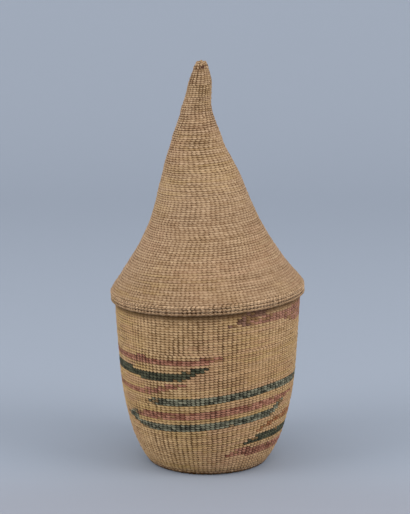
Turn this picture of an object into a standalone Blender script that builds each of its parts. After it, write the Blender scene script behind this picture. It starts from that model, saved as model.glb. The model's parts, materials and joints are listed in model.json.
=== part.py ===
"""A small coiled grass basket with a tall pointed lid.

The basket stands on the XY plane with its middle on the Z axis, and its front faces -Y.
Each piece is first worked out upright and round, as a maker would plan it. Then hand_built()
gives every piece of the basket or lid the same small slope and lean, so the gaps stay as planned.
"""

import math

import bpy
import bmesh

# Heights, in metres
SEAT_HEIGHT = 0.1055  # the floor to the lower edge of the lid
LID_HEIGHT = 0.1445  # that edge to the tip
BASE_THICKNESS = 0.0026
RIM_COIL_HEIGHT = 0.0026
TIP_HEIGHT = 0.0257  # the coarse coils of the point, knot and all
KNOT_HEIGHT = 0.0056
SPIRE_HEIGHT = 0.0535  # the courses between the cone and the point
SPIRE_CROWN = 0.0040  # solid coil between the spire's hollow and the point
WALL_ABOVE_SEAT = 0.0016  # how far the plain wall runs on up inside the lid's rim

# Radii, in metres
FOOT_RADIUS = 0.0362
BASE_START_RADIUS = 0.0095
MOUTH_RADIUS = 0.0572

# Thicknesses and gaps, in metres
WALL = 0.0026  # one coil with its stitches
FOOT_COIL_WIDTH = 0.0054
RIM_COIL_WIDTH = 0.0020
STITCH = 0.0009  # a dyed strand let into the wall
ROUNDING = 0.0007
MERGE = 0.00003
CLEARANCE = 0.0003
LID_PLAY = 0.0006
OVERRUN = 0.0012  # how far a cutter runs past the wall

# Radii that follow from those above
BASE_DISC_RADIUS = FOOT_RADIUS - FOOT_COIL_WIDTH - CLEARANCE
LID_RADIUS = MOUTH_RADIUS + LID_PLAY + RIM_COIL_WIDTH

# What the hand did, in metres
RIM_RISE = 0.00282  # how much higher the lid's edge is at +X than in the middle
SPIRE_LEAN = 0.0069  # how far the spire leans toward -X

# Stitches of the point and the knot
TIP_ROWS = 11
TIP_STITCHES = 14
TIP_TWIST_SHARE = 0.35  # of one stitch, from row to row
STITCH_RELIEF = 0.00042
KNOT_LOOPS = 5
KNOT_LEVELS = 5
KNOT_RELIEF_SHARE = 0.16

# How finely the turned pieces are divided
SEGMENTS = 48
FOOT_RINGS = 4
WALL_RINGS = 17
WALL_INNER_RINGS = 9
LID_RINGS = 13
LID_INNER_RINGS = 9
BAND_END_TURN = 1.0  # least degrees between a band's tip and its next station
SHARP_TURN = 40.0  # degrees

# The wall's outline: shares of SEAT_HEIGHT, and of the step from FOOT_RADIUS to MOUTH_RADIUS
WALL_SHARES = [
    (0.0, 0.0), (0.010, 0.052), (0.025, 0.119), (0.047, 0.200), (0.085, 0.305), (0.133, 0.414),
    (0.190, 0.524), (0.303, 0.675), (0.436, 0.806), (0.569, 0.881), (0.711, 0.928), (0.853, 0.971),
    (1.0, 1.0), (1.06, 1.0),
]

# The lid's outline: shares of LID_HEIGHT and of LID_RADIUS
LID_SHARES = [
    (0.0, 0.985), (0.020, 0.998), (0.038, 0.992), (0.059, 0.962), (0.087, 0.908), (0.114, 0.860),
    (0.149, 0.803), (0.183, 0.748), (0.225, 0.684), (0.273, 0.622), (0.322, 0.565), (0.377, 0.512),
    (0.433, 0.465), (0.481, 0.427), (0.529, 0.386), (0.585, 0.335), (0.633, 0.285), (0.689, 0.242),
    (0.737, 0.198), (0.779, 0.165), (0.820, 0.145), (0.862, 0.131), (0.903, 0.121), (0.938, 0.097),
    (0.972, 0.067), (0.990, 0.040), (1.0, 0.0),
]

# The spire's lean: shares of LID_HEIGHT and of SPIRE_LEAN
LEAN_SHARES = [
    (0.0, 0.0), (0.066, 0.09), (0.135, 0.21), (0.225, 0.25), (0.308, 0.32), (0.377, 0.43),
    (0.446, 0.55), (0.516, 0.66), (0.585, 0.84), (0.654, 0.96), (0.723, 0.99), (0.792, 1.0),
    (0.862, 0.80), (0.931, 0.63), (1.0, 0.58),
]

# Where the slope begins and where it is full: shares of SEAT_HEIGHT
SLOPE_START_SHARE = 0.42
SLOPE_FULL_SHARE = 0.95

# Each dyed band: degrees round from the front toward +X, then the height of its middle and its
# half height, both as shares of SEAT_HEIGHT
BAND_SHARES = {
    "band_left_upper_red": [
        (-128, 0.640, 0.006), (-116, 0.660, 0.017), (-90, 0.690, 0.017), (-60, 0.700, 0.017),
        (-30, 0.705, 0.018), (-12, 0.716, 0.019), (0, 0.724, 0.015), (10, 0.732, 0.005),
    ],
    "band_left_green": [
        (-138, 0.570, 0.006), (-128, 0.585, 0.024), (-90, 0.603, 0.024), (-60, 0.609, 0.025),
        (-36, 0.614, 0.025), (-20, 0.615, 0.026), (-12, 0.640, 0.025), (-2, 0.677, 0.007),
    ],
    "band_left_lower_red": [
        (-152, 0.470, 0.006), (-140, 0.482, 0.018), (-90, 0.505, 0.019), (-60, 0.514, 0.020),
        (-42, 0.521, 0.022), (-34, 0.535, 0.020), (-19, 0.579, 0.005),
    ],
    "band_front_upper_green": [
        (-43, 0.436, 0.006), (-36, 0.461, 0.024), (-20, 0.477, 0.025), (0, 0.492, 0.023),
        (20, 0.517, 0.023), (40, 0.534, 0.022), (60, 0.538, 0.020), (84, 0.535, 0.018),
        (98, 0.545, 0.006),
    ],
    "band_front_red": [
        (-59, 0.364, 0.006), (-50, 0.378, 0.018), (-30, 0.384, 0.019), (-10, 0.400, 0.017),
        (10, 0.424, 0.017), (30, 0.444, 0.016), (50, 0.457, 0.016), (62, 0.458, 0.015), (72, 0.468, 0.005),
    ],
    "band_front_lower_green": [
        (-67, 0.372, 0.006), (-59, 0.326, 0.021), (-50, 0.308, 0.019), (-30, 0.311, 0.019),
        (-10, 0.325, 0.022), (10, 0.346, 0.024), (30, 0.368, 0.024), (48, 0.386, 0.022), (59, 0.427, 0.006),
    ],
    "band_right_rust": [
        (37, 0.276, 0.005), (46, 0.304, 0.018), (58, 0.330, 0.019), (75, 0.338, 0.017),
        (120, 0.345, 0.017), (165, 0.350, 0.017), (174, 0.360, 0.005),
    ],
    "band_right_green": [
        (26, 0.209, 0.005), (36, 0.230, 0.020), (50, 0.235, 0.021), (70, 0.239, 0.020),
        (110, 0.242, 0.020), (150, 0.245, 0.020), (160, 0.256, 0.005),
    ],
    "band_right_red": [
        (11, 0.121, 0.005), (20, 0.142, 0.017), (30, 0.155, 0.017), (50, 0.159, 0.016),
        (75, 0.171, 0.016), (110, 0.176, 0.016), (138, 0.180, 0.016), (148, 0.190, 0.005),
    ],
    "band_top_green": [
        (18, 0.952, 0.004), (24, 0.966, 0.011), (30, 0.974, 0.014), (36, 0.985, 0.012), (42, 0.993, 0.004),
    ],
    "band_top_red": [
        (13, 0.918, 0.005), (22, 0.924, 0.016), (50, 0.912, 0.016), (80, 0.905, 0.016),
        (130, 0.900, 0.016), (150, 0.910, 0.005),
    ],
}

# Colours in linear light, and how rough each surface is
STRAW = (0.305, 0.205, 0.120)
PALE_STRAW = (0.345, 0.240, 0.140)
DARK_STRAW = (0.235, 0.150, 0.085)
GREEN = (0.032, 0.042, 0.032)
RED = (0.175, 0.070, 0.045)
RUST = (0.260, 0.090, 0.032)
ROUGHNESS = 0.72


def smooth_table(table, place):
    """Reads a table of (place, value) along a smooth curve that never overshoots its points."""
    places = [row[0] for row in table]
    values = [row[1] for row in table]
    if place <= places[0]:
        return values[0]
    if place >= places[-1]:
        return values[-1]
    runs = [b - a for a, b in zip(places, places[1:])]
    slopes = [(b - a) / run for a, b, run in zip(values, values[1:], runs)]
    i = max(k for k, start in enumerate(places[:-1]) if start <= place)

    def tangent(k):
        if k == 0:
            return slopes[0]
        if k == len(slopes):
            return slopes[-1]
        if slopes[k - 1] * slopes[k] <= 0.0:
            return 0.0
        return 2.0 * slopes[k - 1] * slopes[k] / (slopes[k - 1] + slopes[k])

    t = (place - places[i]) / runs[i]
    start, end = tangent(i) * runs[i], tangent(i + 1) * runs[i]
    rise = values[i + 1] - values[i]
    return values[i] + t * start + t * t * (3 * rise - 2 * start - end) + t * t * t * (start + end - 2 * rise)


def wall_radius(height):
    """The outside of the basket's wall."""
    share = smooth_table(WALL_SHARES, height / SEAT_HEIGHT)
    return FOOT_RADIUS + (MOUTH_RADIUS - FOOT_RADIUS) * share


def lid_radius(height):
    """The outside of the lid."""
    return LID_RADIUS * smooth_table(LID_SHARES, (height - SEAT_HEIGHT) / LID_HEIGHT)


def slope_at(height):
    """The climb of the coils toward +X: none at the foot, full at the mouth and all through the lid."""
    start, full = SLOPE_START_SHARE * SEAT_HEIGHT, SLOPE_FULL_SHARE * SEAT_HEIGHT
    t = min(1.0, max(0.0, (height - start) / (full - start)))
    return RIM_RISE / LID_RADIUS * t * t * (3.0 - 2.0 * t)


def hand_built(x, y, z):
    """Moves a planned point to where the hand-made basket has it."""
    lean = SPIRE_LEAN * smooth_table(LEAN_SHARES, (z - SEAT_HEIGHT) / LID_HEIGHT)
    return x - lean, y, z + slope_at(z) * x


def planned_height(height, x):
    """The planned height of a point that the hand-made basket has at this height."""
    planned = height
    for _ in range(6):
        planned = height - slope_at(planned) * x
    return planned


def outer_curve(radius_at, bottom, top, count):
    """Points (radius, height) along a turned outline, from bottom to top."""
    heights = [bottom + (top - bottom) * i / (count - 1) for i in range(count)]
    return [(radius_at(height), height) for height in heights]


def inner_curve(radius_at, bottom, top, count):
    """Points (radius, height) one wall inside a turned outline, from top to bottom."""
    points = []
    for radius, height in reversed(outer_curve(radius_at, bottom, top, count)):
        climb = (radius_at(height + CLEARANCE) - radius_at(height - CLEARANCE)) / (2.0 * CLEARANCE)
        points.append((radius - WALL * math.sqrt(1.0 + climb * climb), height))
    return points


def rounded_ring(inside, outside, bottom, top):
    """A coil's section as an outline with its two outer corners rounded."""
    small = ROUNDING * (1.0 - math.sqrt(0.5))
    return [
        (inside, bottom), (outside - ROUNDING, bottom), (outside - small, bottom + small),
        (outside, bottom + ROUNDING), (outside, top - ROUNDING), (outside - small, top - small),
        (outside - ROUNDING, top), (inside, top),
    ]


def make_material(name, colour):
    """A dull plant fibre of one colour."""
    material = bpy.data.materials.new(name)
    material.use_nodes = True
    shader = material.node_tree.nodes["Principled BSDF"]
    shader.inputs["Base Color"].default_value = (*colour, 1.0)
    shader.inputs["Roughness"].default_value = ROUGHNESS
    shader.inputs["Metallic"].default_value = 0.0
    material.diffuse_color = (*colour, 1.0)
    return material


def make_object(name, bm, material, parent=None):
    """Turns a planned mesh into a finished object, hand-built and facing out."""
    for vertex in bm.verts:
        vertex.co = hand_built(*vertex.co)
    bmesh.ops.recalc_face_normals(bm, faces=bm.faces)
    mesh = bpy.data.meshes.new(name)
    bm.to_mesh(mesh)
    bm.free()
    mesh.materials.append(material)
    mesh.shade_smooth()
    mesh.set_sharp_from_angle(angle=math.radians(SHARP_TURN))
    piece = bpy.data.objects.new(name, mesh)
    bpy.context.scene.collection.objects.link(piece)
    if parent:
        piece.parent = parent
        piece.matrix_parent_inverse = parent.matrix_world.inverted()
    return piece


def turned(outline):
    """Spins a closed outline of (radius, height) once round the Z axis; a radius of 0 is the axis."""
    bm = bmesh.new()
    verts = [bm.verts.new((radius, 0.0, height)) for radius, height in outline]
    edges = [bm.edges.new(pair) for pair in zip(verts, verts[1:])]
    if outline[0][0] > 0.0 or outline[-1][0] > 0.0:
        edges.append(bm.edges.new((verts[-1], verts[0])))
    bmesh.ops.spin(
        bm, geom=verts + edges, cent=(0.0, 0.0, 0.0), axis=(0.0, 0.0, 1.0),
        angle=math.tau, steps=SEGMENTS, use_merge=True,
    )
    bmesh.ops.remove_doubles(bm, verts=bm.verts, dist=MERGE)
    return bm


def on_wall(angle, height, depth):
    """A planned point at this angle round the basket and real height, this deep in the wall."""
    turn = math.radians(angle)
    sideways = wall_radius(height) * math.sin(turn)
    planned = planned_height(height, sideways)
    radius = wall_radius(planned) - depth
    return radius * math.sin(turn), -radius * math.cos(turn), planned


def band(table, grow=0.0, out=0.0):
    """A dyed strand let into the wall, or with grow and out its cutter.

    Its stations fall on the wall's own segments, so that its face lies flush with the wall's facets.
    """
    step = 360.0 / SEGMENTS
    first, last = table[0][0], table[-1][0]
    start, stop = math.ceil((first + BAND_END_TURN) / step), math.floor((last - BAND_END_TURN) / step)
    angles = [first] + [step * k for k in range(start, stop + 1)] + [last]
    middles = [(row[0], row[1]) for row in table]
    halves = [(row[0], row[2]) for row in table]
    bm = bmesh.new()
    stations = []
    for angle in angles:
        middle = SEAT_HEIGHT * smooth_table(middles, angle)
        half = SEAT_HEIGHT * smooth_table(halves, angle) + grow
        turn = math.degrees(grow / wall_radius(middle))
        place = angle - turn if angle == first else angle + turn if angle == last else angle
        corners = [(middle - half, -out), (middle + half, -out), (middle + half, STITCH + grow),
                   (middle - half, STITCH + grow)]
        stations.append([bm.verts.new(on_wall(place, height, depth)) for height, depth in corners])
    for near, far in zip(stations, stations[1:]):
        for k in range(4):
            bm.faces.new((near[k], near[(k + 1) % 4], far[(k + 1) % 4], far[k]))
    bm.faces.new(stations[0])
    bm.faces.new(reversed(stations[-1]))
    return bm


def make_base(straw, dark_straw):
    """The flat spiral that the basket stands on: its start, its disc and its foot."""
    bm = turned([(0.0, 0.0), (BASE_START_RADIUS, 0.0), (BASE_START_RADIUS, BASE_THICKNESS),
                 (0.0, BASE_THICKNESS)])
    make_object("base_start", bm, dark_straw)
    bm = turned([(BASE_START_RADIUS + CLEARANCE, 0.0), (BASE_DISC_RADIUS, 0.0),
                 (BASE_DISC_RADIUS, BASE_THICKNESS), (BASE_START_RADIUS + CLEARANCE, BASE_THICKNESS)])
    make_object("base_disc", bm, straw)
    outside = outer_curve(wall_radius, 0.0, BASE_THICKNESS, FOOT_RINGS)
    inside = BASE_DISC_RADIUS + CLEARANCE
    bm = turned([(inside, 0.0)] + outside + [(inside, BASE_THICKNESS)])
    make_object("foot_coil", bm, dark_straw)


def make_wall(straw, dyes):
    """The plain wall, with a seat cut for each dyed strand, and the strands in their seats."""
    bottom, top = BASE_THICKNESS + CLEARANCE, SEAT_HEIGHT + WALL_ABOVE_SEAT
    outside = outer_curve(wall_radius, bottom, top, WALL_RINGS)
    inside = inner_curve(wall_radius, bottom, top, WALL_INNER_RINGS)
    wall = make_object("basket_wall", turned(outside + inside), straw)

    cutters = bmesh.new()
    for name, table in BAND_SHARES.items():
        part = band(table, CLEARANCE, OVERRUN)
        mesh = bpy.data.meshes.new(name + "_seat")
        part.to_mesh(mesh)
        part.free()
        cutters.from_mesh(mesh)
        bpy.data.meshes.remove(mesh)
        make_object(name, band(table), dyes[name.rsplit("_", 1)[1]])
    cutter = make_object("band_seats", cutters, straw)
    cutter.hide_render = True
    cutter.display_type = "WIRE"
    cut = wall.modifiers.new("Band seats", "BOOLEAN")
    cut.operation = "DIFFERENCE"
    cut.solver = "EXACT"
    cut.object = cutter
    return top


def make_mouth_rim(bottom, top, straw):
    """The finishing turns round the mouth; the lid's cone comes to rest on them."""
    outline = rounded_ring(MOUTH_RADIUS - WALL, MOUTH_RADIUS, bottom, top)
    make_object("mouth_rim", turned(outline), straw)


def make_lid_rim(parent, pale_straw):
    """The two lashed coils of the rolled rim, which hang round the mouth."""
    inside = MOUTH_RADIUS + LID_PLAY
    bottom = SEAT_HEIGHT
    for name in ("lid_rim_lower_coil", "lid_rim_upper_coil"):
        top = bottom + RIM_COIL_HEIGHT
        outside = max(lid_radius(bottom), lid_radius(top))
        make_object(name, turned(rounded_ring(inside, outside, bottom, top)), pale_straw, parent)
        bottom = top + CLEARANCE
    return bottom


def make_cone_and_spire(bottom, parent, straw, pale_straw):
    """The flared lower half and the slender upper half of the lid, both hollow."""
    tip_bottom = SEAT_HEIGHT + LID_HEIGHT - TIP_HEIGHT
    spire_bottom = tip_bottom - SPIRE_HEIGHT
    cone_top = spire_bottom - CLEARANCE
    outside = outer_curve(lid_radius, bottom, cone_top, LID_RINGS)
    inside = inner_curve(lid_radius, bottom, cone_top, LID_INNER_RINGS)
    make_object("lid_cone", turned(outside + inside), pale_straw, parent)

    spire_top = tip_bottom - CLEARANCE
    hollow_top = spire_top - SPIRE_CROWN
    outside = outer_curve(lid_radius, spire_bottom, spire_top, LID_RINGS)
    inside = inner_curve(lid_radius, spire_bottom, hollow_top, LID_INNER_RINGS)
    outline = outside + [(0.0, spire_top), (0.0, hollow_top)] + inside
    make_object("lid_spire", turned(outline), straw, parent)
    return tip_bottom


def ring_of(bm, columns, height, radius_of, shift=0.0):
    """One ring of vertices; radius_of gives the radius at each column."""
    ring = []
    for j in range(columns):
        turn = math.tau * (j + shift) / columns
        radius = radius_of(j)
        ring.append(bm.verts.new((radius * math.sin(turn), -radius * math.cos(turn), height)))
    return ring


def join_rings(bm, rings, crown=None):
    """Faces between neighbouring rings, a flat floor, and a flat top or a crown point."""
    for low, high in zip(rings, rings[1:]):
        for j in range(len(low)):
            k = (j + 1) % len(low)
            bm.faces.new((low[j], low[k], high[k], high[j]))
    bm.faces.new(rings[0][::-1])
    top = rings[-1]
    if crown is None:
        bm.faces.new(top)
    else:
        for j in range(len(top)):
            bm.faces.new((top[j], top[(j + 1) % len(top)], crown))


def make_point(bottom, parent, straw, dark_straw):
    """The coarse coils of the point, each row with its own stitches, a little twisted."""
    tip = SEAT_HEIGHT + LID_HEIGHT
    top = tip - KNOT_HEIGHT - CLEARANCE
    bm = bmesh.new()
    rings = []
    for i in range(2 * TIP_ROWS + 1):
        height = bottom + (top - bottom) * i / (2 * TIP_ROWS)
        crest = i % 2

        def stitch_radius(j, height=height, crest=crest):
            return lid_radius(height) - STITCH_RELIEF * (2 - crest - crest * (j % 2)) / 2

        rings.append(ring_of(bm, 2 * TIP_STITCHES, height, stitch_radius, TIP_TWIST_SHARE * i))
    join_rings(bm, rings)
    make_object("lid_tip", bm, straw, parent)
    make_top_knot(tip, parent, dark_straw)


def make_top_knot(tip, parent, dark_straw):
    """The looped knot where the lid's coil starts."""
    bm = bmesh.new()
    columns = 4 * KNOT_LOOPS
    rings = []
    for i in range(KNOT_LEVELS):
        height = tip - KNOT_HEIGHT * (1.0 - math.sin(math.pi / 2.0 * i / KNOT_LEVELS))

        def loop_radius(j, height=height):
            lobe = 1.0 - math.cos(KNOT_LOOPS * math.tau * j / columns)
            return lid_radius(height) * (1.0 - KNOT_RELIEF_SHARE * lobe / 2.0)

        rings.append(ring_of(bm, columns, height, loop_radius))
    join_rings(bm, rings, bm.verts.new((0.0, 0.0, tip)))
    make_object("lid_top_knot", bm, dark_straw, parent)


def main():
    for old in list(bpy.data.objects):
        bpy.data.objects.remove(old, do_unlink=True)

    straw = make_material("natural grass coil", STRAW)
    pale_straw = make_material("bleached grass coil", PALE_STRAW)
    dark_straw = make_material("coarse grass coil", DARK_STRAW)
    dyes = {
        "green": make_material("green dyed strand", GREEN),
        "red": make_material("red dyed strand", RED),
        "rust": make_material("rust dyed strand", RUST),
    }

    make_base(straw, dark_straw)
    wall_top = make_wall(straw, dyes)

    # The lid slides straight up off the mouth, so its empty stands on the middle of its seat
    lid = bpy.data.objects.new("lid", None)
    lid.location = (0.0, 0.0, SEAT_HEIGHT)
    bpy.context.scene.collection.objects.link(lid)
    bpy.context.view_layer.update()
    cone_bottom = make_lid_rim(lid, pale_straw)
    make_mouth_rim(wall_top + CLEARANCE, cone_bottom - CLEARANCE, dark_straw)
    tip_bottom = make_cone_and_spire(cone_bottom, lid, straw, pale_straw)
    make_point(tip_bottom, lid, straw, dark_straw)


if __name__ == "__main__":
    main()
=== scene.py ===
"""A small coiled grass basket with a tall pointed lid, with every stitch of its sewing.

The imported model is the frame. Each piece here is a run of courses, which are turns of the coil, and
follows the frame's own surface. A course is one turn high and its stitches stand side by side round it.
"""

import json
import math
from functools import partial

import bmesh
import bpy
import numpy as np
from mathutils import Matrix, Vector

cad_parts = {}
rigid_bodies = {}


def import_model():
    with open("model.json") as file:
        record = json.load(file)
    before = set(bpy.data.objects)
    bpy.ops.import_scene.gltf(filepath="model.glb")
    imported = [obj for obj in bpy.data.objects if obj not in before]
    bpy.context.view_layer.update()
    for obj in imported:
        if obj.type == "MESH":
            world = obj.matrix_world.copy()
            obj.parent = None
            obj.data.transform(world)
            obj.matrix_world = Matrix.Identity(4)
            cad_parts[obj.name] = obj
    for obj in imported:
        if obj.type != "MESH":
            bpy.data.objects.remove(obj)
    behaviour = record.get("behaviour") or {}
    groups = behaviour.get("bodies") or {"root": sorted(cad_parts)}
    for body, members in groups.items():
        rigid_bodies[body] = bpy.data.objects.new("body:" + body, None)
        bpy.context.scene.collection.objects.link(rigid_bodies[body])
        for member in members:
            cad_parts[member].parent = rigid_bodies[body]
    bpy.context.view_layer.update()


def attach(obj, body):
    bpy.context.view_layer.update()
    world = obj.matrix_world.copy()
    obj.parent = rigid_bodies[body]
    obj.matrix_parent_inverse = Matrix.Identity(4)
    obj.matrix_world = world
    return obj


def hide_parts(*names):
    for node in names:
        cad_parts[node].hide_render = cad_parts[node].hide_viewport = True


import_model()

bl_info = {
    "name": "Coiled grass basket",
    "version": (1, 0, 0),
    "blender": (4, 5, 0),
    "location": "3D View > Sidebar > Basket",
    "description": "Sews the courses of a lidded coiled basket over its packed frame",
    "category": "Add Mesh",
}

# The frame's own sizes, in metres
SEAT_HEIGHT = 0.1055
LID_HEIGHT = 0.1445
FOOT_RADIUS = 0.0362
MOUTH_RADIUS = 0.0572
LID_RADIUS = 0.0598
WALL = 0.0026
BASE_THICKNESS = 0.0026
# How far the lid's rim climbs toward +X, and how far the spire leans toward -X
RIM_RISE = 0.00282
SPIRE_LEAN = 0.0069
# The foot's coil is rounded below, and stands out a little from the wall's line
FOOT_ROUND = 0.0006
FOOT_FULL = 0.0005
# Single stitches stand out by this much at most, so the base's courses keep that far above the table
STAND_OUT = 0.0002
BASE_LIFT = STAND_OUT

# The frame's outlines, as shares of those sizes
WALL_SHARES = [
    (0.0, 0.0), (0.010, 0.052), (0.025, 0.119), (0.047, 0.200), (0.085, 0.305), (0.133, 0.414),
    (0.190, 0.524), (0.303, 0.675), (0.436, 0.806), (0.569, 0.881), (0.711, 0.928), (0.853, 0.971),
    (1.0, 1.0), (1.06, 1.0),
]
LID_SHARES = [
    (0.0, 0.985), (0.020, 0.998), (0.038, 0.992), (0.059, 0.962), (0.087, 0.908), (0.114, 0.860),
    (0.149, 0.803), (0.183, 0.748), (0.225, 0.684), (0.273, 0.622), (0.322, 0.565), (0.377, 0.512),
    (0.433, 0.465), (0.481, 0.427), (0.529, 0.386), (0.585, 0.335), (0.633, 0.285), (0.689, 0.242),
    (0.737, 0.198), (0.779, 0.165), (0.820, 0.145), (0.862, 0.131), (0.903, 0.121), (0.938, 0.097),
    (0.972, 0.067), (0.990, 0.040), (1.0, 0.0),
]
LEAN_SHARES = [
    (0.0, 0.0), (0.066, 0.09), (0.135, 0.21), (0.225, 0.25), (0.308, 0.32), (0.377, 0.43),
    (0.446, 0.55), (0.516, 0.66), (0.585, 0.84), (0.654, 0.96), (0.723, 0.99), (0.792, 1.0),
    (0.862, 0.80), (0.931, 0.63), (1.0, 0.58),
]
# The heights where the rim's climb starts and where it is full
SLOPE_START_SHARE, SLOPE_FULL_SHARE = 0.42, 0.95

# The basket's courses: course number and its height in front, in metres
COURSE_HEIGHTS = [(0, 0.0029), (19, 0.0324), (33, 0.0538), (50, 0.0803), (67, 0.1071)]
COURSES = 67
# Stretches of the wall with one number of stitches to the course: (first course, end, stitches, skew).
# A skew makes the stitches wider toward -X and narrower toward +X.
WALL_ZONES = {
    "wall_lower_courses": (0, 19, 106, 0.10),
    "wall_banded_courses": (19, 30, 115, 0.10),
    "wall_middle_courses": (30, 50, 132, 0.0),
    "wall_upper_courses": (50, 67, 125, -0.04),
}

# How the courses rise round the basket: degrees from the front toward +X, and metres
COURSE_RISE = [
    (-180, 0.0006), (-150, -0.0012), (-120, -0.0028), (-90, -0.0036), (-60, -0.0035), (-45, -0.0032),
    (-30, -0.0026), (-20, -0.0019), (-10, -0.0011), (0, 0.0), (10, 0.0012), (20, 0.0025), (30, 0.0034),
    (40, 0.0044), (50, 0.0049), (60, 0.0050), (84, 0.0046), (120, 0.0034), (150, 0.0022), (180, 0.0006),
]
# and how much of that rise is met at each height, in metres
RISE_SHARES = [
    (0.0029, 0.0), (0.008, 0.35), (0.014, 0.62), (0.021, 0.80), (0.030, 0.92), (0.036, 1.0),
    (0.066, 1.0), (0.072, 0.70), (0.078, 0.45), (0.084, 0.20), (0.090, 0.08), (0.096, 0.0),
]

# The dyed bands, course by course: (course, from degrees, to degrees)
BANDS = {
    "band_left_upper_red": [(46, -128, 2), (47, -120, 8), (48, -50, -43), (48, -6, 10)],
    "band_left_green": [(40, -47, -14), (41, -138, -11), (42, -130, -7), (43, -122, -55), (43, -17, -3),
                        (44, -12, 1)],
    "band_left_lower_red": [(34, -152, -38), (35, -146, -31), (36, -44, -25), (37, -34, -19), (38, -27, -15)],
    "band_front_upper_green": [(30, -38, 84), (31, -42, 92), (32, -38, 98)],
    "band_front_red": [(24, -57, 56), (25, -56, 66), (26, -48, 72)],
    "band_front_lower_green": [(19, -52, 50), (20, -56, 53), (21, -61, 56), (22, -68, -55), (22, 49, 58),
                               (23, -71, -57), (23, 52, 60), (24, -65, -56), (24, 55, 61), (25, -61, -55)],
    "band_right_rust": [(14, 36, 42), (15, 39, 50), (16, 44, 165), (17, 50, 174), (18, 62, 170)],
    "band_right_green": [(10, 26, 152), (11, 31, 156), (12, 35, 160)],
    "band_right_red": [(5, 30, 120), (6, 12, 142), (7, 16, 148), (8, 20, 34)],
    "band_top_green": [(60, 13, 17), (60, 20, 25), (61, 18, 26), (62, 19, 33), (63, 21, 37), (64, 22, 38),
                       (65, 24, 41), (66, 30, 52)],
    "band_top_red": [(57, 66, 128), (58, 60, 140), (59, 54, 150), (60, 25, 152), (61, 26, 150), (62, 36, 146),
                     (63, 62, 118)],
}

# Bands whose dye isn't the usual one
LOOKS = {
    "band_left_green": "deep green", "band_right_green": "deep green", "band_top_green": "brown",
    "band_top_red": "faded red",
}

# The base's rings of turns: name, inner and outer radius, courses, stitches, finish, node, slot
BASE_RINGS = [
    ("base_start_turns", 0.0, 0.0095, 6, 20, "coarse", "base_start", "coarse_grass"),
    ("base_inner_turns", 0.0098, 0.0190, 6, 34, "wall", "base_disc", "grass"),
    ("base_outer_turns", 0.0190, 0.0305, 7, 60, "wall", "base_disc", "grass"),
]
# The foot's turn, with its courses above and below and those of its side
FOOT_INNER, FOOT_STITCHES, FOOT_COURSES, FOOT_SIDE_COURSES = 0.0308, 92, 3, 2

# The mouth's turns: name and middle height
MOUTH_TURNS = [("mouth_lower_turn", 0.1083), ("mouth_upper_turn", 0.1101)]
MOUTH_HALF_HEIGHT, MOUTH_STITCHES = 0.0009, 128

# The ropes of the lid's rim: name, node, middle height, half height, turns of stitches round the section
RIM_ROPES = [
    ("rim_lower_rope", "lid_rim_lower_coil", 0.10588, 0.00066, 4),
    ("rim_middle_rope", "lid_rim_lower_coil", 0.1080, 0.00068, 4),
    ("rim_upper_rope", "lid_rim_upper_coil", 0.1100, 0.00120, 6),
]
RIM_MIDDLE, RIM_HALF_WIDTH, RIM_STITCHES = 0.0588, 0.00112, 152
# The lashing between the lower two, a thin rope in their groove painted dark between its stitches as shade
LASHING_HEIGHT, LASHING_HALF_WIDTH, LASHING_HALF_HEIGHT = 0.10694, 0.0010, 0.00070

# The stretches of the lid: bottom, top and number of courses, which are counted from its rim
CONE = (0.1113, 0.17063, 46)
SPIRE = (0.17067, 0.22413, 41)
POINT = (0.22417, 0.2442, 17)
# and their parts with one number of stitches to the course: (first course, end, stitches)
CONE_ZONES = [(0, 9, 134), (9, 18, 110), (18, 27, 94), (27, 36, 76), (36, 46, 65)]
SPIRE_ZONES = [(0, 10, 52), (10, 20, 42), (20, 30, 34), (30, 41, 27)]
POINT_ZONES = [(0, 3, 27), (3, 9, 24), (9, 17, 18)]
SPIRE_FINISHES = ["lid", "neck", "spire", "spire"]
# Where the lid's hollow ends
HOLLOW_TOP = 0.2200
KNOT_BOTTOM, KNOT_CROWN, KNOT_TOP = 0.24422, 0.2490, 0.2495
KNOT_COURSES, KNOT_STITCHES = 4, 13
# The knot's loops: how far each runs beside the middle, its turn in degrees, and its half length
KNOT_LOOPS = [(-0.0022, -10, 0.0025), (0.0001, 6, 0.0031), (0.0023, 14, 0.0024)]
# The thickness of its strands, and the beads along each
KNOT_STRAND, BEADS = 0.0008, 5
# Its tie: from and to degrees, height over the knot's foot, how deep it lies, and thickness
TIE_START, TIE_END, TIE_HEIGHT, TIE_DEPTH, TIE_STRAND = -2.0, 24.0, 0.0011, 0.0002, 0.00065

# Where the lines of a stitch stand across and along it, and how near each is to its crest
ACROSS, ACROSS_CREST = np.array([(0.0, 0.17, 0.5, 0.83), (0.0, 0.86, 1.0, 0.86)])
ALONG, ALONG_CREST = np.array([(0.0, 0.18, 0.5, 0.82), (0.0, 0.80, 1.0, 0.80)])
INSIDE_ALONG, INSIDE_CREST = np.array([(0.0, 0.5), (0.0, 1.0)])
# A stitch leans to the left as it climbs, and its foot goes down between two stitches of the course below
ALONG_LEAN = np.array((0.0, 0.32, 0.0, -0.32))
ALONG_FOOT = np.array((1.0, 0.75, 0.30, 0.60))
ACROSS_FOOT = np.array((0.24, 0.05, -0.18, 0.05))
# How far each line follows its stitch's own jitter
ACROSS_JITTER = np.array((1.0, 0.6, 0.0, 0.6))
# Rows of random numbers, more than there are courses
CHANCE_ROWS = 128
# How far a course's stitches stand from those of the last one, in stitch widths
LID_DRIFT = 0.16
# How far the surfaces swell and sink round the basket, in metres
WALL_SWELL, LID_SWELL = 0.00012, 0.00018
# Half the height over which a surface's slope is measured
SLOPE_STEP = 0.0003

# How deep a band's seat in the wall and the band's back lie, in metres, and how many stitches from its
# ends it starts to hold plain ones
BAND_SEAT, BAND_BACK, BAND_TIP = 0.00095, 0.00070, 8
# Points nearer than this, in metres, are one, and edges sharper than this stay sharp
WELD = 0.0000005
SHARP = math.radians(70)

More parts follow.
